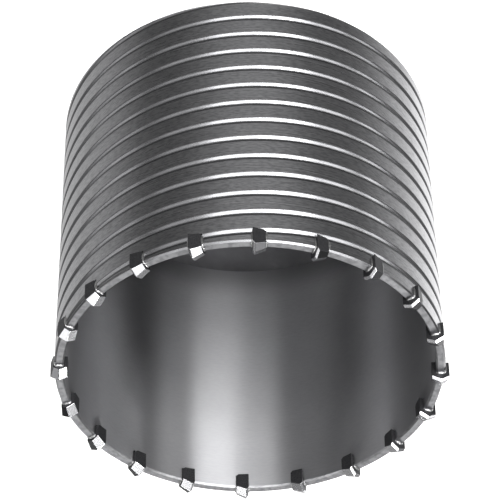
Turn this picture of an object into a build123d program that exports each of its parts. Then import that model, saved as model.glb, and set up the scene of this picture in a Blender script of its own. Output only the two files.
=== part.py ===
from build123d import *
import math
import os

# A carbide tipped core bit for hammer drills, in millimetres. It stands on its back face, with the teeth up.
# The origin is the centre of the back face, and +Z is the bit's axis toward the teeth.
# The drill turns it so that its teeth travel counter-clockwise when seen from above the mouth.

# The barrel
cutting_diameter = 125.0
tip_proud_out = 1.25
barrel_length = 105.6
wall = 3.0
rim_chamfer = 0.5
back_chamfer = 0.6

# The helical groove, whose starts share one lead
groove_starts = 2
groove_spacing = 7.8
groove_width = 1.6
groove_depth = 0.7
# how far below the rim the groove's middle crosses the front of the barrel
groove_offset = 3.85
# the groove is cut half a turn at a time, with this many degrees more at each end of a half
segment_overrun = 2.0

# The back plate, its hub and its threaded hole
plate_thickness = 10.0
hub_diameter = 36.0
hub_height = 6.0
# the tapping bore of an M22 x 2.5 thread, and its countersink
thread_bore = 19.3
thread_chamfer = 1.4

# The weld between plate and barrel, in a bevel of the barrel's bore
weld_leg = 1.8
weld_depth = 2.6

# The carbide tips
tip_count = 20
# the angle of the first tip, from +X toward +Y
tip_start = 266.8
tip_width = 4.0
tip_seat = 4.5
tip_height = 3.1
tip_corner = 0.7
# how far the narrower trailing end stands out, and how far both ends stand in
tip_proud_trailing = 0.25
tip_proud_in = 1.35
tip_proud_in_trailing = 1.05
# the ground end: a roof whose ridge falls to the trailing side, and a steep land along the leading edge
roof_angle = 26.0
relief_angle = 25.0
land_width = 0.65
land_angle = 50.0

# The braze
braze_gap = 0.15
bead_leg = 0.7
bead_rise = 0.55

barrel_radius = cutting_diameter / 2 - tip_proud_out
bore_radius = barrel_radius - wall
groove_lead = groove_starts * groove_spacing


def tube_outline():
    # half the tube's section, with its broken edges and the welding bevel at the back of its bore
    outline = Polyline(
        (bore_radius, weld_depth),
        (bore_radius, barrel_length - rim_chamfer),
        (bore_radius + rim_chamfer, barrel_length),
        (barrel_radius - rim_chamfer, barrel_length),
        (barrel_radius, barrel_length - rim_chamfer),
        (barrel_radius, back_chamfer),
        (barrel_radius - back_chamfer, 0),
        (bore_radius + weld_leg, 0),
        close=True,
    )
    return Plane.XZ * make_face(outline)


def groove_segment():
    # a V swept along half a turn of the helix, from +X at height 0, with some overrun at each end
    turn = 180 + 2 * segment_overrun
    path = Helix(pitch=groove_lead, height=groove_lead * turn / 360, radius=barrel_radius)
    # the V opens past the surface, so that the cut leaves no skin
    past = groove_depth / 2
    half = groove_width / 2 * (1 + past / groove_depth)
    section = Polygon((-groove_depth, 0), (past, half), (past, -half), align=None)
    at_start = Plane(origin=path @ 0, x_dir=(1, 0, 0), z_dir=path % 0)
    segment = sweep(at_start * section, path=path, is_frenet=True)
    overrun_rise = groove_lead * segment_overrun / 360
    return Pos(0, 0, -overrun_rise) * (Rot(0, 0, -segment_overrun) * segment)


def half_barrel(first_angle):
    # half the tube, from the given angle on, with each stretch of groove that crosses it
    half = revolve(tube_outline(), Axis.Z, revolution_arc=180)
    # the front is at 270 degrees, where a groove's middle lies at its offset from the rim
    height = barrel_length - groove_offset + groove_lead * (first_angle - 270) / 360
    lowest = height % groove_spacing - groove_starts * groove_spacing
    count = math.ceil((barrel_length + groove_width - lowest) / groove_spacing)
    segment = groove_segment()
    half -= [Pos(0, 0, lowest + groove_spacing * i) * segment for i in range(count)]
    return Rot(0, 0, first_angle) * half


def seat_block(gap, inner, outer, top):
    # a tip's outline seen along the radius, with the given gap round it, from one radius to another
    # and up to the given height above the rim
    half = tip_width / 2 + gap
    depth = tip_seat + gap
    outline = Plane.YZ * Pos(0, (top - depth) / 2) * Rectangle(2 * half, top + depth)
    trailing_foot = outline.vertices().sort_by(Axis.Z)[:2].sort_by(Axis.Y)[0]
    outline = chamfer(trailing_foot, tip_corner)
    return Pos(inner, 0, barrel_length) * extrude(outline, outer - inner)


def make_barrel():
    # the halves meet between two slots
    seam_angle = tip_start - 180 / tip_count
    body = half_barrel(seam_angle) + half_barrel(seam_angle + 180)
    slot = seat_block(braze_gap, bore_radius - wall, barrel_radius + wall, tip_height)
    return body - [Rot(0, 0, angle) * slot for angle in tip_angles()]


def make_back_plate():
    # a disc that fits the bore, with a hub inside and a threaded hole that is countersunk at the back
    thread_radius = thread_bore / 2
    hub_radius = hub_diameter / 2
    top = plate_thickness + hub_height
    outline = Polyline(
        (thread_radius + thread_chamfer, 0),
        (bore_radius, 0),
        (bore_radius, plate_thickness),
        (hub_radius, plate_thickness),
        (hub_radius, top),
        (thread_radius, top),
        (thread_radius, thread_chamfer),
        close=True,
    )
    return revolve(Plane.XZ * make_face(outline), Axis.Z)


def make_weld_seam():
    # the weld fills the bevel against the disc's edge and is ground flush with the back
    outline = Polyline(
        (bore_radius, 0),
        (bore_radius + weld_leg, 0),
        (bore_radius, weld_depth),
        close=True,
    )
    return revolve(Plane.XZ * make_face(outline), Axis.Z)


def grind(block, ridge_end, roof_slope, along_slope):
    # keep what lies below a plane through the ridge's end, which falls outward and along the ridge
    facet = Plane(origin=ridge_end, z_dir=(roof_slope, -along_slope, 1))
    return split(block, bisect_by=facet, keep=Keep.BOTTOM)


def make_tip():
    # the first tip lies across +X, with its leading side toward +Y
    half = tip_width / 2
    outer = barrel_radius + tip_proud_out
    inner = bore_radius - tip_proud_in
    footprint = Polygon(
        (inner, half),
        (bore_radius - tip_proud_in_trailing, -half),
        (barrel_radius + tip_proud_trailing, -half),
        (outer, half),
        align=None,
    )
    block = Pos(0, 0, barrel_length - tip_seat) * extrude(footprint, tip_seat + tip_height)
    block = block & seat_block(0, inner, outer, tip_height)
    ridge_end = ((inner + outer) / 2, half - land_width, barrel_length + tip_height)
    roof = math.tan(math.radians(roof_angle))
    relief = math.tan(math.radians(relief_angle))
    land = -math.tan(math.radians(land_angle))
    for side in (1, -1):
        block = grind(block, ridge_end, side * roof, relief)
        block = grind(block, ridge_end, side * roof, land)
    return block


def bead_section(side, rise, foot):
    # the corner that a bead fills between a tip's flank and a surface, seen along the corner
    # foot is how far behind the surface the braze layer ends
    flank = side * tip_width / 2
    return [
        (flank, -foot),
        (flank, rise),
        (flank + side * bead_leg, 0),
        (flank + side * braze_gap, -foot),
    ]


def make_braze(tip):
    # the thin layer round the seated tip, with a bead along each flank on the barrel's outside and rim
    half = tip_width / 2 + braze_gap
    layer_radius = math.sqrt(barrel_radius**2 - half**2)
    # the outer beads end above the tip's broken corner
    bead_length = tip_seat - tip_corner
    braze = seat_block(braze_gap, bore_radius, layer_radius, 0)
    for side, rise in ((1, bead_rise), (-1, tip_proud_trailing)):
        outside = bead_section(side, rise, barrel_radius - layer_radius)
        outside = Polygon(*[(barrel_radius + away, along) for along, away in outside], align=None)
        foot = barrel_length - bead_length
        braze += Pos(0, 0, foot) * extrude(outside, bead_length, dir=(0, 0, 1))
        on_rim = Plane.YZ * Polygon(*bead_section(side, bead_rise, 0), align=None)
        braze += Pos(bore_radius, 0, barrel_length) * extrude(on_rim, wall, dir=(1, 0, 0))
    return braze - tip


def tip_angles():
    return [tip_start + 360 / tip_count * i for i in range(tip_count)]


def main():
    os.makedirs("parts", exist_ok=True)
    nodes = {
        "barrel": make_barrel(),
        "back_plate": make_back_plate(),
        "weld_seam": make_weld_seam(),
    }
    tip = make_tip()
    braze = make_braze(tip)
    for i, angle in enumerate(tip_angles()):
        nodes[f"tip_{i + 1:02d}"] = Rot(0, 0, angle) * tip
        nodes[f"braze_{i + 1:02d}"] = Rot(0, 0, angle) * braze
    for name, solid in nodes.items():
        export_step(solid, f"parts/{name}.step")


main()
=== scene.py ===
import math

import bpy
from mathutils import Euler, Matrix, Vector


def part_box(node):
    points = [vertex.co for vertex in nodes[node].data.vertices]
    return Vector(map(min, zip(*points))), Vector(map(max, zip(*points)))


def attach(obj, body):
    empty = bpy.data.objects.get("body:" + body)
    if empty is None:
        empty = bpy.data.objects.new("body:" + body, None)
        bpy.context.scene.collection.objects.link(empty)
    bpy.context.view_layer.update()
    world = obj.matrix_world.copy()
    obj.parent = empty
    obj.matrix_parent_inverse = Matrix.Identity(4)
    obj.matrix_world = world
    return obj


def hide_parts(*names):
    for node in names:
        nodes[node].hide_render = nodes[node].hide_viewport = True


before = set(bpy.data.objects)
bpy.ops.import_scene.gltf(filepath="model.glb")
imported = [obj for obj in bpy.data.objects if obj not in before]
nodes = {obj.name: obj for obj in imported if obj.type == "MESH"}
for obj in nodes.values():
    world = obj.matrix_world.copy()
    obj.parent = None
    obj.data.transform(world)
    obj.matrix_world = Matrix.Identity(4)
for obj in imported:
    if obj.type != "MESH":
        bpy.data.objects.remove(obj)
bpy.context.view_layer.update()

mm = 0.001
white = (1, 1, 1, 1)
# the colour inputs and output of a Mix node, whose names it also uses for other sockets
mixFirst, mixSecond, mixed = 6, 7, 2


# Small helpers

def hexColor(value):
    # sRGB hex to the linear colour that shaders take
    channels = [int(value[i:i + 2], 16) / 255 for i in (1, 3, 5)]
    linear = [c / 12.92 if c <= 0.04045 else ((c + 0.055) / 1.055) ** 2.4 for c in channels]
    return (*linear, 1.0)


def slope(degrees):
    return math.tan(math.radians(degrees))


def emptyTree(owner):
    # the cleared node tree of a material or a world
    owner.use_nodes = True
    owner.node_tree.nodes.clear()
    return owner.node_tree


def setInputs(tree, node, inputs):
    # links each input to the socket that is given for it, or sets it to the value
    for name, value in inputs.items():
        if isinstance(value, bpy.types.NodeSocket):
            tree.links.new(value, node.inputs[name])
        else:
            node.inputs[name].default_value = value


def addNode(tree, kind, settings=None, inputs=None):
    # adds a node, sets its properties, and sets or links its inputs
    node = tree.nodes.new(kind)
    for name, value in (settings or {}).items():
        setattr(node, name, value)
    setInputs(tree, node, inputs or {})
    return node


def newMaterial(name):
    # an empty material with its output and one principled shader
    material = bpy.data.materials.new(name)
    tree = emptyTree(material)
    shader = addNode(tree, "ShaderNodeBsdfPrincipled")
    addNode(tree, "ShaderNodeOutputMaterial", inputs={"Surface": shader.outputs["BSDF"]})
    return material, tree, shader


def deselectAll():
    if bpy.context.object and bpy.context.object.mode != "OBJECT":
        bpy.ops.object.mode_set(mode="OBJECT")
    bpy.ops.object.select_all(action="DESELECT")


def pick(piece):
    deselectAll()
    piece.select_set(True)
    bpy.context.view_layer.objects.active = piece


def joinAll(parts):
    # joins the parts into the first one
    pick(parts[0])
    for part in parts:
        part.select_set(True)
    bpy.ops.object.join()
    return bpy.context.object


def copyOf(piece):
    # a copy with its own mesh
    twin = piece.copy()
    twin.data = piece.data.copy()
    bpy.context.scene.collection.objects.link(twin)
    return twin


def applyModifier(piece, kind, **settings):
    pick(piece)
    modifier = piece.modifiers.new(kind.title(), kind)
    for name, value in settings.items():
        setattr(modifier, name, value)
    bpy.ops.object.modifier_apply(modifier=modifier.name)


def cutAway(piece, cutter):
    applyModifier(piece, "BOOLEAN", operation="DIFFERENCE", solver="EXACT", object=cutter)
    bpy.data.objects.remove(cutter)


def placeInMesh(piece):
    # leaves the object at the origin, unturned and unscaled
    pick(piece)
    bpy.ops.object.transform_apply(location=True, rotation=True, scale=True)


def addBlock(location, size):
    bpy.ops.mesh.primitive_cube_add(size=1, location=location)
    block = bpy.context.object
    block.scale = size
    placeInMesh(block)
    return block


def coat(piece, material):
    piece.data.materials.clear()
    piece.data.materials.append(material)


def giveFaces(piece, material, test):
    # gives the faces that pass the test their own material
    piece.data.materials.append(material)
    slot = len(piece.data.materials) - 1
    for face in piece.data.polygons:
        if test(face.center, face.normal):
            face.material_index = slot


def smoothUnder(piece, degrees):
    # shades smooth across the edges that turn less than this
    pick(piece)
    bpy.ops.object.shade_smooth_by_angle(angle=math.radians(degrees))


def radiusOf(point):
    return math.hypot(point.x, point.y)


# Materials

steelFinish = {
    # spread is how far the turning marks draw out a reflection, and grain is how much of the grain shows
    "turnedBarrelSteel": {
        "color": "#A8A8AA", "roughness": 0.30, "markHeight": 0.004 * mm, "spread": 0.7, "grain": 0.65},
    "boredSteel": {
        "color": "#A0A0A2", "roughness": 0.40, "markHeight": 0.003 * mm, "spread": 1.0, "grain": 0.1},
    # a darker copy of the steel for the grooves and outer chamfers: painted shade that dims their
    # reflections
    "shadedGrooveSteel": {
        "color": "#636365", "roughness": 0.28, "markHeight": 0.001 * mm, "spread": 0.3, "grain": 0.5},
    # the plate's steel is darkened as painted shade, for the shade at the bottom of the bore
    "shadedPlateSteel": {
        "color": "#505052", "roughness": 0.5, "markHeight": 0.003 * mm, "spread": 0.5, "grain": 0.5},
    "groundWeldSteel": {
        "color": "#8A8886", "roughness": 0.45, "markHeight": 0.02 * mm, "spread": 0.2, "grain": 0.5},
}
steelMarks = {
    "feed": 0.25 * mm,           # the lathe's feed for each turn, a little coarser than the real one
    "roughnessSwing": 0.05,      # from ring to ring
    "wornColor": "#929294",      # the duller steel of the patches
    "patchSize": 14 * mm,
    "grainColor": "#747476",     # the fine grain that turned steel keeps, drawn out round the barrel
    "grainLength": 1.8 * mm, "grainWidth": 0.45 * mm,
    "deepBoreShadeColor": "#6E6E70",     # painted shade: darker steel deep in the bore, where shade falls
    "deepBoreShadeFrom": 9 * mm, "deepBoreShadeTo": 24 * mm,
}
carbideFinish = {
    # the tips' sides: sintered carbide is darker than ground, and this colour darkens it further as painted
    # shade
    "sinteredAndShadedCarbide": {
        "color": "#3C3C3E", "lightColor": "#505052", "roughness": 0.55, "grainHeight": 0.02 * mm},
    "groundCarbide": {
        "color": "#C2C2C4", "lightColor": "#CECED0", "roughness": 0.25, "grainHeight": 0.0004 * mm},
    # a darker copy of the ground carbide: painted shade for the tips' outer relief
    "shadedGroundCarbide": {
        "color": "#78787A", "lightColor": "#848486", "roughness": 0.15, "grainHeight": 0.0003 * mm},
}
carbideGrain = 0.3 * mm          # coarser than the real grain, which is too fine to show
brazeFinish = {
    "color": "#8C8C8C", "lightColor": "#C4C4C4", "roughness": 0.3,
    "ripple": 0.8 * mm, "rippleHeight": 0.12 * mm,
}


def turnedSteel(name, deepBoreShaded=False):
    # tool steel turned on a lathe: fine rings round the axis spread each reflection along the axis
    finish = steelFinish[name]
    material, tree, shader = newMaterial(name)
    coord = addNode(tree, "ShaderNodeTexCoord")
    place = addNode(tree, "ShaderNodeSeparateXYZ", inputs={"Vector": coord.outputs["Object"]})
    rings = addNode(tree, "ShaderNodeCombineXYZ", inputs={"Z": place.outputs["Z"]})
    marks = addNode(tree, "ShaderNodeTexNoise", inputs={
        "Vector": rings.outputs["Vector"], "Scale": 1 / steelMarks["feed"] / 2, "Detail": 3.0})
    patches = addNode(tree, "ShaderNodeTexNoise", inputs={
        "Vector": coord.outputs["Object"], "Scale": 1 / steelMarks["patchSize"], "Detail": 4.0})
    worn = addNode(tree, "ShaderNodeMix", settings={"data_type": "RGBA"}, inputs={
        "Factor": patches.outputs["Fac"],
        mixFirst: hexColor(finish["color"]), mixSecond: hexColor(steelMarks["wornColor"])})
    drawnOut = addNode(tree, "ShaderNodeMapping", inputs={
        "Vector": coord.outputs["Object"],
        "Scale": (1, 1, steelMarks["grainLength"] / steelMarks["grainWidth"])})
    grain = addNode(tree, "ShaderNodeTexNoise", inputs={
        "Vector": drawnOut.outputs["Vector"], "Scale": 1 / steelMarks["grainLength"], "Detail": 2.0})
    grainShare = addNode(tree, "ShaderNodeMapRange", inputs={
        "Value": grain.outputs["Fac"], "From Min": 0.4, "From Max": 0.65, "To Max": finish["grain"]})
    steelTone = addNode(tree, "ShaderNodeMix", settings={"data_type": "RGBA"}, inputs={
        "Factor": grainShare.outputs["Result"],
        mixFirst: worn.outputs[mixed], mixSecond: hexColor(steelMarks["grainColor"])})
    if deepBoreShaded:
        # painted shade: the steel darkens deep in the bore, where shade falls, and fades toward the mouth
        deepBoreShadeShare = addNode(tree, "ShaderNodeMapRange", settings={"interpolation_type": "SMOOTHSTEP"}, inputs={
            "Value": place.outputs["Z"],
            "From Min": steelMarks["deepBoreShadeFrom"], "From Max": steelMarks["deepBoreShadeTo"],
            "To Min": 1.0, "To Max": 0.0})
        steelTone = addNode(tree, "ShaderNodeMix", settings={"data_type": "RGBA"}, inputs={
            "Factor": deepBoreShadeShare.outputs["Result"],
            mixFirst: steelTone.outputs[mixed], mixSecond: hexColor(steelMarks["deepBoreShadeColor"])})
    rough = addNode(tree, "ShaderNodeMapRange", inputs={
        "Value": marks.outputs["Fac"], "From Min": 0.3, "From Max": 0.7,
        "To Min": finish["roughness"] - steelMarks["roughnessSwing"],
        "To Max": finish["roughness"] + steelMarks["roughnessSwing"]})
    bump = addNode(tree, "ShaderNodeBump", inputs={
        "Height": marks.outputs["Fac"], "Distance": finish["markHeight"], "Strength": 1.0})
    tangent = addNode(tree, "ShaderNodeTangent", settings={"direction_type": "RADIAL", "axis": "Z"})
    setInputs(tree, shader, {
        "Base Color": steelTone.outputs[mixed], "Metallic": 1.0, "Roughness": rough.outputs["Result"],
        "Anisotropic": finish["spread"], "Anisotropic Rotation": 0.25,
        "Normal": bump.outputs["Normal"], "Tangent": tangent.outputs["Tangent"]})
    return material


def tungstenCarbide(name):
    # tungsten carbide, pressed and sintered to a dark fine grain, and brighter where a wheel has ground it;
    # the sintered sides are darkened further as painted shade
    finish = carbideFinish[name]
    material, tree, shader = newMaterial(name)
    coord = addNode(tree, "ShaderNodeTexCoord")
    grain = addNode(tree, "ShaderNodeTexNoise", inputs={
        "Vector": coord.outputs["Object"], "Scale": 1 / carbideGrain, "Detail": 3.0})
    lightShare = addNode(tree, "ShaderNodeMapRange", inputs={
        "Value": grain.outputs["Fac"], "From Min": 0.35, "From Max": 0.65})
    tone = addNode(tree, "ShaderNodeMix", settings={"data_type": "RGBA"}, inputs={
        "Factor": lightShare.outputs["Result"],
        mixFirst: hexColor(finish["color"]), mixSecond: hexColor(finish["lightColor"])})
    bump = addNode(tree, "ShaderNodeBump", inputs={
        "Height": grain.outputs["Fac"], "Distance": finish["grainHeight"], "Strength": 1.0})
    setInputs(tree, shader, {
        "Base Color": tone.outputs[mixed], "Metallic": 1.0, "Roughness": finish["roughness"],
        "Normal": bump.outputs["Normal"]})
    return material


def silverBraze():
    # silver braze that has flowed and set: bright, smooth and slightly rippled
    material, tree, shader = newMaterial("silverBraze")
    coord = addNode(tree, "ShaderNodeTexCoord")
    ripple = addNode(tree, "ShaderNodeTexNoise", inputs={
        "Vector": coord.outputs["Object"], "Scale": 1 / brazeFinish["ripple"], "Detail": 2.0})
    lightShare = addNode(tree, "ShaderNodeMapRange", inputs={
        "Value": ripple.outputs["Fac"], "From Min": 0.3, "From Max": 0.7})
    tone = addNode(tree, "ShaderNodeMix", settings={"data_type": "RGBA"}, inputs={
        "Factor": lightShare.outputs["Result"],
        mixFirst: hexColor(brazeFinish["color"]), mixSecond: hexColor(brazeFinish["lightColor"])})
    bump = addNode(tree, "ShaderNodeBump", inputs={
        "Height": ripple.outputs["Fac"], "Distance": brazeFinish["rippleHeight"], "Strength": 1.0})
    setInputs(tree, shader, {
        "Base Color": tone.outputs[mixed], "Metallic": 1.0, "Roughness": brazeFinish["roughness"],
        "Normal": bump.outputs["Normal"]})
    return material


barrelSteel = turnedSteel("turnedBarrelSteel")
# the bore's steel carries painted shade deep inside, toward the back plate
boreSteel = turnedSteel("boredSteel", deepBoreShaded=True)
grooveShadeSteel = turnedSteel("shadedGrooveSteel")
plateSteel = turnedSteel("shadedPlateSteel")
weldSteel = turnedSteel("groundWeldSteel")
carbide = tungstenCarbide("sinteredAndShadedCarbide")
groundCarbide = tungstenCarbide("groundCarbide")
outerShadedCarbide = tungstenCarbide("shadedGroundCarbide")
braze = silverBraze()
print("materials made")


# The barrel, with finer steps than the frame's

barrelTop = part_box("barrel")[1]
barrel = {
    "radius": barrelTop.x, "length": barrelTop.z, "wall": 3.0 * mm,
    "rimChamfer": 0.5 * mm, "backChamfer": 0.6 * mm,
    "weldLeg": 1.8 * mm, "weldDepth": 2.6 * mm,
    "grooveStarts": 2, "grooveSpacing": 7.8 * mm, "grooveOffset": 3.85 * mm, "grooveDepth": 0.7 * mm,
    "grooveSteepest": 38, "grooveShoulder": 18,      # degrees, on its sides and where they meet the lands
    "grooveFacets": 14, "steps": 240,
    "smoothUnder": 16,           # degrees
}
tip = {
    "count": 20, "start": 266.8,                     # degrees from +X to the first tip
    "width": 4.0 * mm, "seat": 4.5 * mm, "height": 3.1 * mm, "gap": 0.15 * mm, "corner": 0.7 * mm,
    "brokenEdge": 0.12 * mm, "brokenOver": 12,       # only edges that turn more degrees than this are broken
    # how far it stands out of the wall and into the bore, at its leading and trailing sides
    "proudOut": 1.25 * mm, "proudOutTrailing": 0.25 * mm, "proudIn": 1.35 * mm, "proudInTrailing": 1.05 * mm,
    "roofAngle": 26, "reliefAngle": 25, "land": 0.65 * mm, "landAngle": 50,
}


def turnTo(piece, index):
    # turns a piece made across +X to its place in the row of tips
    piece.rotation_euler.z = math.radians(tip["start"] + 360 / tip["count"] * index)
    placeInMesh(piece)


def cutCorner(first, second, inside):
    # trims the section along the line through two points, and keeps the side where a third one lies
    along = second - first
    normal = Vector((along.z, 0, -along.x)).normalized()
    if (inside - first).dot(normal) > 0:
        normal.negate()
    bpy.ops.mesh.select_all(action="SELECT")
    bpy.ops.mesh.bisect(plane_co=first, plane_no=normal, clear_outer=True)


def makeTube():
    # the section, drawn as a plane with its corners cut off, then spun round the axis
    outer, inner = barrel["radius"], barrel["radius"] - barrel["wall"]
    middle = Vector(((outer + inner) / 2, 0, barrel["length"] / 2))
    bpy.ops.mesh.primitive_plane_add(size=1, location=middle, rotation=(math.pi / 2, 0, 0))
    tube = bpy.context.object
    tube.name = "grooved_barrel"
    tube.scale = (barrel["wall"], barrel["length"], 1)
    placeInMesh(tube)
    bpy.ops.object.mode_set(mode="EDIT")
    rim, back = barrel["rimChamfer"], barrel["backChamfer"]
    top = barrel["length"]
    cutCorner(Vector((outer - rim, 0, top)), Vector((outer, 0, top - rim)), middle)
    cutCorner(Vector((inner + rim, 0, top)), Vector((inner, 0, top - rim)), middle)
    cutCorner(Vector((outer - back, 0, 0)), Vector((outer, 0, back)), middle)
    cutCorner(Vector((inner + barrel["weldLeg"], 0, 0)), Vector((inner, 0, barrel["weldDepth"])), middle)
    bpy.ops.mesh.select_all(action="SELECT")
    bpy.ops.mesh.delete(type="ONLY_FACE")
    bpy.ops.mesh.select_all(action="SELECT")
    bpy.ops.mesh.spin(steps=barrel["steps"], angle=2 * math.pi, center=(0, 0, 0), axis=(0, 0, 1))
    bpy.ops.mesh.select_all(action="SELECT")
    bpy.ops.mesh.remove_doubles(threshold=0.001 * mm)
    bpy.ops.mesh.normals_make_consistent(inside=False)
    bpy.ops.object.mode_set(mode="OBJECT")
    return tube


def screwRound(cutter, lead, starts, turns, steps):
    # sweeps a closed section along a screw, closes its ends and copies it for each start
    sides = len(cutter.data.vertices)
    applyModifier(cutter, "SCREW", axis="Z", angle=2 * math.pi * turns, screw_offset=lead * turns,
                  steps=steps * turns, render_steps=steps * turns)
    pick(cutter)
    bpy.ops.object.mode_set(mode="EDIT")
    bpy.ops.mesh.select_all(action="SELECT")
    bpy.ops.mesh.fill_holes(sides=sides)
    bpy.ops.mesh.select_all(action="SELECT")
    bpy.ops.mesh.normals_make_consistent(inside=False)
    for start in range(1, starts):
        bpy.ops.mesh.duplicate()
        bpy.ops.transform.rotate(value=2 * math.pi / starts, orient_axis="Z", center_override=(0, 0, 0))
    bpy.ops.object.mode_set(mode="OBJECT")
    return cutter


def makeGrooveCutter():
    # the groove's section is a hollow with rolled shoulders, one smooth wave of a cosine
    steepest = slope(barrel["grooveSteepest"])
    reach = math.pi - math.asin(slope(barrel["grooveShoulder"]) / steepest)
    swing = barrel["grooveDepth"] / (1 - math.cos(reach))
    stretch = swing / steepest
    # the wave runs a little past the lands, so that none of its corners lies on the barrel's surface
    past = 1.05 * reach
    facets = barrel["grooveFacets"]
    section = []
    for i in range(facets + 1):
        turn = past * (2 * i / facets - 1)
        section.append((swing * (math.cos(turn) - math.cos(reach)), stretch * turn))
    # two more points close it outside the barrel
    outside = -0.5 * mm
    section = [(outside, section[0][1])] + section + [(outside, section[-1][1])]
    # the screw runs from below the back to above the rim, and meets the front at its offset from the rim
    lead = barrel["grooveStarts"] * barrel["grooveSpacing"]
    turns = math.ceil(barrel["length"] / lead) + 2
    first = barrel["length"] - barrel["grooveOffset"] - (turns - 1) * lead
    bpy.ops.mesh.primitive_circle_add(vertices=len(section), radius=1 * mm)
    cutter = bpy.context.object
    for corner, (depth, height) in zip(cutter.data.vertices, section):
        corner.co = (0, depth - barrel["radius"], first + height)
    return screwRound(cutter, lead, barrel["grooveStarts"], turns, barrel["steps"])


def makeSlotCutter():
    # the seats of the tips, milled across the wall
    depth = tip["seat"] + tip["gap"]
    spare = 1 * mm
    seat = addBlock((barrel["radius"] - barrel["wall"] / 2, 0, barrel["length"] + (spare - depth) / 2),
                    (barrel["wall"] + 2 * spare, tip["width"] + 2 * tip["gap"], depth + spare))
    seats = []
    for i in range(tip["count"]):
        seats.append(copyOf(seat))
        turnTo(seats[i], i)
    bpy.data.objects.remove(seat)
    return joinAll(seats)


def makeBarrel():
    tube = makeTube()
    cutAway(tube, makeGrooveCutter())
    cutAway(tube, makeSlotCutter())
    smoothUnder(tube, barrel["smoothUnder"])
    coat(tube, barrelSteel)
    outer, inner = barrel["radius"], barrel["radius"] - barrel["wall"]
    bottom = outer - barrel["grooveDepth"]
    # how far a face's middle may lie past its surface, and how far the lands' facets dip below theirs
    slack, dip = 0.02 * mm, 0.012 * mm
    giveFaces(tube, boreSteel, lambda at, normal: radiusOf(at) < inner + slack)
    # the grooves' faces and the outer chamfers get the darker steel, as painted shade
    giveFaces(tube, grooveShadeSteel, lambda at, normal: (
        abs(normal.z) < 0.95 and bottom - slack < radiusOf(at) < outer - dip))
    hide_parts("barrel")
    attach(tube, "root")
    return tube


barrelPiece = makeBarrel()
print("barrel made:", len(barrelPiece.data.polygons), "faces")


# The carbide tips, each a ground block with its edges just broken

def cutPlane(point, normal):
    # removes what lies past a plane and closes the cut
    bpy.ops.mesh.select_all(action="SELECT")
    bpy.ops.mesh.bisect(plane_co=point, plane_no=Vector(normal).normalized(), use_fill=True,
                        clear_outer=True)


def makeTip():
    outer = barrel["radius"] + tip["proudOut"]
    inner = barrel["radius"] - barrel["wall"] - tip["proudIn"]
    centre = (outer + inner) / 2
    half, top, foot = tip["width"] / 2, barrel["length"] + tip["height"], barrel["length"] - tip["seat"]
    block = addBlock((centre, 0, (top + foot) / 2), (outer - inner, tip["width"], top - foot))
    bpy.ops.object.mode_set(mode="EDIT")
    # the block narrows toward its trailing side, on both faces
    lessOut = (tip["proudOut"] - tip["proudOutTrailing"]) / tip["width"]
    lessIn = (tip["proudIn"] - tip["proudInTrailing"]) / tip["width"]
    cutPlane((outer, half, 0), (1, -lessOut, 0))
    cutPlane((inner, half, 0), (-1, -lessIn, 0))
    cutPlane((0, -half, foot + tip["corner"]), (0, -1, -1))
    # the roof falls outward, inward and back from its ridge, with a steep land along the leading edge
    ridge = (centre, half - tip["land"], top)
    roof, relief, land = slope(tip["roofAngle"]), slope(tip["reliefAngle"]), slope(tip["landAngle"])
    for side in (1, -1):
        cutPlane(ridge, (side * roof, -relief, 1))
        cutPlane(ridge, (side * roof, land, 1))
    bpy.ops.object.mode_set(mode="OBJECT")
    applyModifier(block, "BEVEL", width=tip["brokenEdge"], segments=2, limit_method="ANGLE",
                  angle_limit=math.radians(tip["brokenOver"]))
    coat(block, carbide)
    # the ground facets look upward and the lands ahead, and the outer relief gets a darker copy of the
    # ground carbide as painted shade
    upward, ahead = 0.4, 0.3
    giveFaces(block, groundCarbide, lambda at, normal: (
        normal.z > upward and (at.x < centre or normal.y > ahead)))
    giveFaces(block, outerShadedCarbide, lambda at, normal: (
        normal.z > upward and at.x >= centre and normal.y <= ahead))
    pick(block)
    bpy.ops.object.shade_flat()
    return block


def copyRound(piece, family):
    # one copy with its own mesh for each of the frame's nodes of that family
    for i in range(tip["count"]):
        twin = copyOf(piece)
        twin.name = f"{family}_piece_{i + 1:02d}"
        turnTo(twin, i)
        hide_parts(f"{family}_{i + 1:02d}")
        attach(twin, "root")
    bpy.data.objects.remove(piece)


copyRound(makeTip(), "tip")
print("tips made")


# The braze: a thin layer round each seated tip, and a lumpy bead along its flanks

bead = {
    "radius": 0.52 * mm, "steps": 12, "rings": 16,
    "offFlank": 0.1 * mm, "intoWall": 0.12 * mm,     # where its middle lies
    "lessThanWall": 0.2 * mm,                        # how much shorter than the wall it is on the rim
    "lump": 0.9 * mm, "lumpHeight": 0.16 * mm, "lumpMiddle": 0.7,
    "smoothUnder": 40,
}


def addBead(location, length, turn):
    # a drawn out ball, half sunk in the corner
    bpy.ops.mesh.primitive_uv_sphere_add(segments=bead["steps"], ring_count=bead["rings"],
                                         radius=bead["radius"], location=location, rotation=turn)
    drop = bpy.context.object
    drop.scale = (1, 1, length / 2 / bead["radius"])
    placeInMesh(drop)
    return drop


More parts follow.
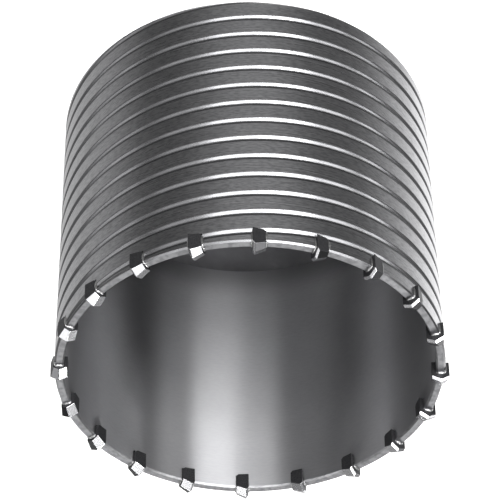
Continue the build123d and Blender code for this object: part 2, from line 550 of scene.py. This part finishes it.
def makeBraze():
    outer, inner = barrel["radius"], barrel["radius"] - barrel["wall"]
    top = barrel["length"]
    half, gap, depth = tip["width"] / 2, tip["gap"], tip["seat"] + tip["gap"]
    corner = tip["corner"]
    # the layer stays just inside the barrel's rounded outside
    thick = math.sqrt(outer ** 2 - (half + gap) ** 2) - inner
    layer = inner + thick / 2
    low = top - depth + corner
    under = addBlock((layer, corner / 2, top - depth + gap / 2), (thick, tip["width"] - corner, gap))
    leading = addBlock((layer, half + gap / 2, top - depth / 2), (thick, gap, depth))
    trailing = addBlock((layer, -half - gap / 2, (top + low) / 2), (thick, gap, top - low))
    # one bead runs down the outside and one along the rim, on both flanks
    run = tip["seat"] - corner
    beads = []
    for side in (1, -1):
        flank = side * (half + bead["offFlank"])
        beads.append(addBead((outer - bead["intoWall"], flank, top - run / 2), run, (0, 0, 0)))
        beads.append(addBead(((outer + inner) / 2, flank, top), barrel["wall"] - bead["lessThanWall"],
                             (0, math.pi / 2, 0)))
    drops = joinAll(beads)
    lumps = bpy.data.textures.new("lumps", "CLOUDS")
    lumps.noise_scale = bead["lump"]
    applyModifier(drops, "DISPLACE", texture=lumps, texture_coords="LOCAL", strength=bead["lumpHeight"],
                  mid_level=bead["lumpMiddle"])
    filler = joinAll([under, leading, trailing, drops])
    coat(filler, braze)
    smoothUnder(filler, bead["smoothUnder"])
    return filler


copyRound(makeBraze(), "braze")
print("braze made")


# The back plate with its threaded hub, and the weld round it

plate = {
    "radius": barrel["radius"] - barrel["wall"], "thickness": 10.0 * mm,
    "hubRadius": 18.0 * mm, "hubTop": 16.0 * mm, "hubChamfer": 0.8 * mm,
    "bore": 9.65 * mm, "countersink": 1.4 * mm, "steps": 192, "smoothUnder": 30,
    "threadRadius": 11.0 * mm, "threadWidth": 2.2 * mm, "pitch": 2.5 * mm, "threadSteps": 64,
}


def addRound(radius, low, high, topRadius=None):
    # a cylinder, or a cone where the upper radius differs
    bpy.ops.mesh.primitive_cone_add(vertices=plate["steps"], radius1=radius,
                                    radius2=radius if topRadius is None else topRadius,
                                    depth=high - low, location=(0, 0, (low + high) / 2))
    placeInMesh(bpy.context.object)
    return bpy.context.object


def makeThreadCutter():
    # a triangle that points outward at the thread's depth, screwed up the bore
    bpy.ops.mesh.primitive_circle_add(vertices=3, radius=1)
    cutter = bpy.context.object
    # it is half as large again as the thread's profile, so that it opens into the bore
    larger = 1.5
    depth = plate["threadRadius"] - plate["bore"]
    # the three corners of the circle span the root of 3 by 1.5, and its first one becomes the thread's root
    cutter.scale = (larger * plate["threadWidth"] / math.sqrt(3), larger * depth / 1.5, 1)
    placeInMesh(cutter)
    cutter.rotation_euler = (0, math.pi / 2, math.pi)
    placeInMesh(cutter)
    root = min(corner.co.y for corner in cutter.data.vertices)
    cutter.location = (0, -plate["threadRadius"] - root, -plate["pitch"])
    placeInMesh(cutter)
    turns = math.ceil(plate["hubTop"] / plate["pitch"]) + 2
    return screwRound(cutter, plate["pitch"], 1, turns, plate["threadSteps"])


def breakTopEdge(hub):
    # chamfers the edges that lie in the hub's top
    pick(hub)
    bpy.ops.object.mode_set(mode="EDIT")
    bpy.ops.mesh.select_all(action="DESELECT")
    bpy.ops.object.mode_set(mode="OBJECT")
    justBelow = plate["hubTop"] - 0.01 * mm
    for edge in hub.data.edges:
        edge.select = all(hub.data.vertices[v].co.z > justBelow for v in edge.vertices)
    bpy.ops.object.mode_set(mode="EDIT")
    bpy.ops.mesh.select_mode(type="EDGE")
    bpy.ops.mesh.bevel(offset=plate["hubChamfer"], segments=1, affect="EDGES")
    bpy.ops.object.mode_set(mode="OBJECT")


def makePlate():
    disc = addRound(plate["radius"], 0, plate["thickness"])
    hub = addRound(plate["hubRadius"], plate["thickness"] / 2, plate["hubTop"])
    breakTopEdge(hub)
    applyModifier(disc, "BOOLEAN", operation="UNION", solver="EXACT", object=hub)
    bpy.data.objects.remove(hub)
    bore, sink, top, spare = plate["bore"], plate["countersink"], plate["hubTop"], 1 * mm
    cutAway(disc, addRound(bore, -spare, top + spare))
    cutAway(disc, addRound(bore + sink + spare, -spare, sink, bore))
    cutAway(disc, addRound(bore, top - sink, top + spare, bore + sink + spare))
    cutAway(disc, makeThreadCutter())
    disc.name = "threaded_plate"
    coat(disc, plateSteel)
    smoothUnder(disc, plate["smoothUnder"])
    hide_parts("back_plate")
    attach(disc, "root")
    return disc


platePiece = makePlate()
print("back plate made:", len(platePiece.data.polygons), "faces")

for slot in nodes["weld_seam"].material_slots:
    slot.material = weldSteel
print("weld finished")


# The studio

floorFinish = {"color": "#F2F2F2", "glow": 0.45, "size": 6.0}


def makeFloor():
    # a pale sheet that keeps the shadow and shows white to the lens
    bpy.ops.mesh.primitive_plane_add(size=floorFinish["size"], location=(0, 0, 0))
    floor = bpy.context.object
    floor.name = "floor"
    material = bpy.data.materials.new("paperFloor")
    tree = emptyTree(material)
    path = addNode(tree, "ShaderNodeLightPath")
    strength = addNode(tree, "ShaderNodeMath", settings={"operation": "MULTIPLY"}, inputs={
        0: path.outputs["Is Camera Ray"], 1: floorFinish["glow"]})
    matt = addNode(tree, "ShaderNodeBsdfDiffuse", inputs={"Color": hexColor(floorFinish["color"])})
    glow = addNode(tree, "ShaderNodeEmission", inputs={
        "Color": white, "Strength": strength.outputs["Value"]})
    both = addNode(tree, "ShaderNodeAddShader", inputs={
        0: matt.outputs["BSDF"], 1: glow.outputs["Emission"]})
    addNode(tree, "ShaderNodeOutputMaterial", inputs={"Surface": both.outputs["Shader"]})
    floor.data.materials.append(material)
    floor.visible_glossy = False     # the metal shows the world's tones instead


surroundings = {
    "high": 0.09,                # the dark room above the table
    "middle": 0.33,              # the paler band just above the table's edge
    # the heights where one turns into the next, from -1 straight down to 1 straight up
    "tableFrom": -0.35, "tableTo": -0.1, "roomFrom": 0.3, "roomTo": 0.5,
    # what lies below the table's edge, by azimuth from the camera's side toward the picture's right
    "low": [
        (-180, 1.0), (-151, 1.0), (-128, 0.9), (-110, 0.76), (-99, 0.70), (-88, 0.58), (-77, 0.30),
        (-65, 0.12), (-50, 0.13), (-40, 0.14), (-25, 0.28), (-8, 0.42), (12, 0.40), (25, 0.25),
        (36, 0.08), (47, 0.08), (65, 0.12), (75, 0.20), (85, 0.38), (96, 0.66), (109, 1.1),
        (118, 1.45), (131, 2.1), (150, 2.4), (180, 1.0)],
    "brightest": 2.4,
}


def makeWorld():
    # white to the lens, and toned to the metal, which shows the room and the table round it
    world = bpy.data.worlds.new("studio")
    tree = emptyTree(world)
    path = addNode(tree, "ShaderNodeLightPath")
    coord = addNode(tree, "ShaderNodeTexCoord")
    toward = addNode(tree, "ShaderNodeSeparateXYZ", inputs={"Vector": coord.outputs["Generated"]})
    right = addNode(tree, "ShaderNodeMath", settings={"operation": "MULTIPLY"}, inputs={
        0: toward.outputs["X"], 1: -1.0})
    front = addNode(tree, "ShaderNodeMath", settings={"operation": "MULTIPLY"}, inputs={
        0: toward.outputs["Y"], 1: -1.0})
    azimuth = addNode(tree, "ShaderNodeMath", settings={"operation": "ARCTAN2"}, inputs={
        0: right.outputs["Value"], 1: front.outputs["Value"]})
    share = addNode(tree, "ShaderNodeMapRange", inputs={
        "Value": azimuth.outputs["Value"], "From Min": -math.pi, "From Max": math.pi})
    tones = addNode(tree, "ShaderNodeValToRGB", inputs={"Fac": share.outputs["Result"]})
    elements = tones.color_ramp.elements
    while len(elements) < len(surroundings["low"]):
        elements.new(0.5)
    for element, (degrees, level) in zip(elements, surroundings["low"]):
        element.position = (degrees + 180) / 360
        element.color = [level / surroundings["brightest"]] * 3 + [1.0]
    low = addNode(tree, "ShaderNodeMath", settings={"operation": "MULTIPLY"}, inputs={
        0: tones.outputs["Color"], 1: surroundings["brightest"]})
    overTable = addNode(tree, "ShaderNodeMapRange", inputs={
        "Value": toward.outputs["Z"],
        "From Min": surroundings["tableFrom"], "From Max": surroundings["tableTo"]})
    above = addNode(tree, "ShaderNodeMapRange", inputs={
        "Value": toward.outputs["Z"],
        "From Min": surroundings["roomFrom"], "From Max": surroundings["roomTo"],
        "To Min": surroundings["middle"], "To Max": surroundings["high"]})
    room = addNode(tree, "ShaderNodeMix", inputs={
        "Factor": overTable.outputs["Result"], "A": low.outputs["Value"], "B": above.outputs["Result"]})
    strength = addNode(tree, "ShaderNodeMath", settings={"operation": "MAXIMUM"}, inputs={
        0: path.outputs["Is Camera Ray"], 1: room.outputs["Result"]})
    sky = addNode(tree, "ShaderNodeBackground", inputs={
        "Color": white, "Strength": strength.outputs["Value"]})
    addNode(tree, "ShaderNodeOutputWorld", inputs={"Surface": sky.outputs["Background"]})
    bpy.context.scene.world = world


lampDistance = 1.5
lamps = {
    # azimuth, elevation, width and height in degrees, seen from the middle of the bit, then brightness
    # azimuth 0 is the camera's side and grows toward the picture's right, and white paper is 1 bright
    "keyBox": (22, 29, 28, 36, 16),
    "middleBox": (-4, 29, 24, 36, 8),
    "leftBox": (-31, 30, 29, 34, 1.0),
    "highLeftBox": (-46, 43, 26, 14, 2.4),
    "rightBox": (51, 30, 18, 34, 5),
    "lowRightBox": (73, 20, 14, 16, 6),
    "lowLeftBox": (-72, 17, 32, 16, 1.7),
    "highRightBox": (27, 68, 30, 10, 6),
    "highMiddleBox": (-27, 68, 30, 10, 6),
    "upperRightBox": (67, 60, 14, 7, 7),
    "upperLeftBox": (-68, 59.5, 20, 9, 6),
    "sideRightBox": (97, 46, 16, 12, 1.2),
    "sideLeftBox": (-96, 47, 16, 12, 1.4),
    "farRightBox": (122, 54, 22, 10, 26),
    "farLeftBox": (-115, 58.5, 22, 10, 12),
    "backBox": (180, 44, 90, 40, 1),
}


def addLamp(name, azimuth, elevation, width, height, brightness):
    # a soft box that faces the middle of the bit
    turn, rise = math.radians(azimuth), math.radians(elevation)
    aim = Vector((0, 0, barrel["length"] / 2))
    away = Vector((-math.sin(turn) * math.cos(rise), -math.cos(turn) * math.cos(rise), math.sin(rise)))
    lampData = bpy.data.lights.new(name, "AREA")
    lampData.shape = "RECTANGLE"
    lampData.size = 2 * lampDistance * slope(width / 2) * math.cos(rise)
    lampData.size_y = 2 * lampDistance * slope(height / 2)
    lampData.energy = brightness * math.pi * lampData.size * lampData.size_y
    lamp = bpy.data.objects.new(name, lampData)
    lamp.location = aim + away * lampDistance
    lamp.rotation_euler = away.to_track_quat("Z", "Y").to_euler()
    bpy.context.scene.collection.objects.link(lamp)


makeFloor()
makeWorld()
for name, setting in lamps.items():
    addLamp(name, *setting)
print("studio made")


# The camera, turned over so that the mouth points down in the picture

lens = {
    "elevation": 42.53, "roll": 179.04, "length": 188.2, "sensor": 36.0,
    # the mouth's centre from the camera, in barrel radii: right, down and ahead
    "right": 0.0012, "down": 0.6314, "ahead": 13.3523,
}


def makeCamera():
    tilt = Euler((math.radians(90 - lens["elevation"]), 0, 0)).to_matrix()
    turn = tilt @ Matrix.Rotation(math.radians(lens["roll"]), 3, "Z")
    mouth = Vector((0, 0, barrel["length"]))
    offset = turn @ Vector((lens["right"], -lens["down"], -lens["ahead"])) * barrel["radius"]
    cameraData = bpy.data.cameras.new("camera")
    cameraData.lens = lens["length"]
    cameraData.sensor_width = lens["sensor"]
    camera = bpy.data.objects.new("camera", cameraData)
    camera.matrix_world = Matrix.Translation(mouth - offset) @ turn.to_4x4()
    bpy.context.scene.collection.objects.link(camera)
    bpy.context.scene.camera = camera


makeCamera()
bpy.context.scene.view_settings.view_transform = "Standard"

print("done")
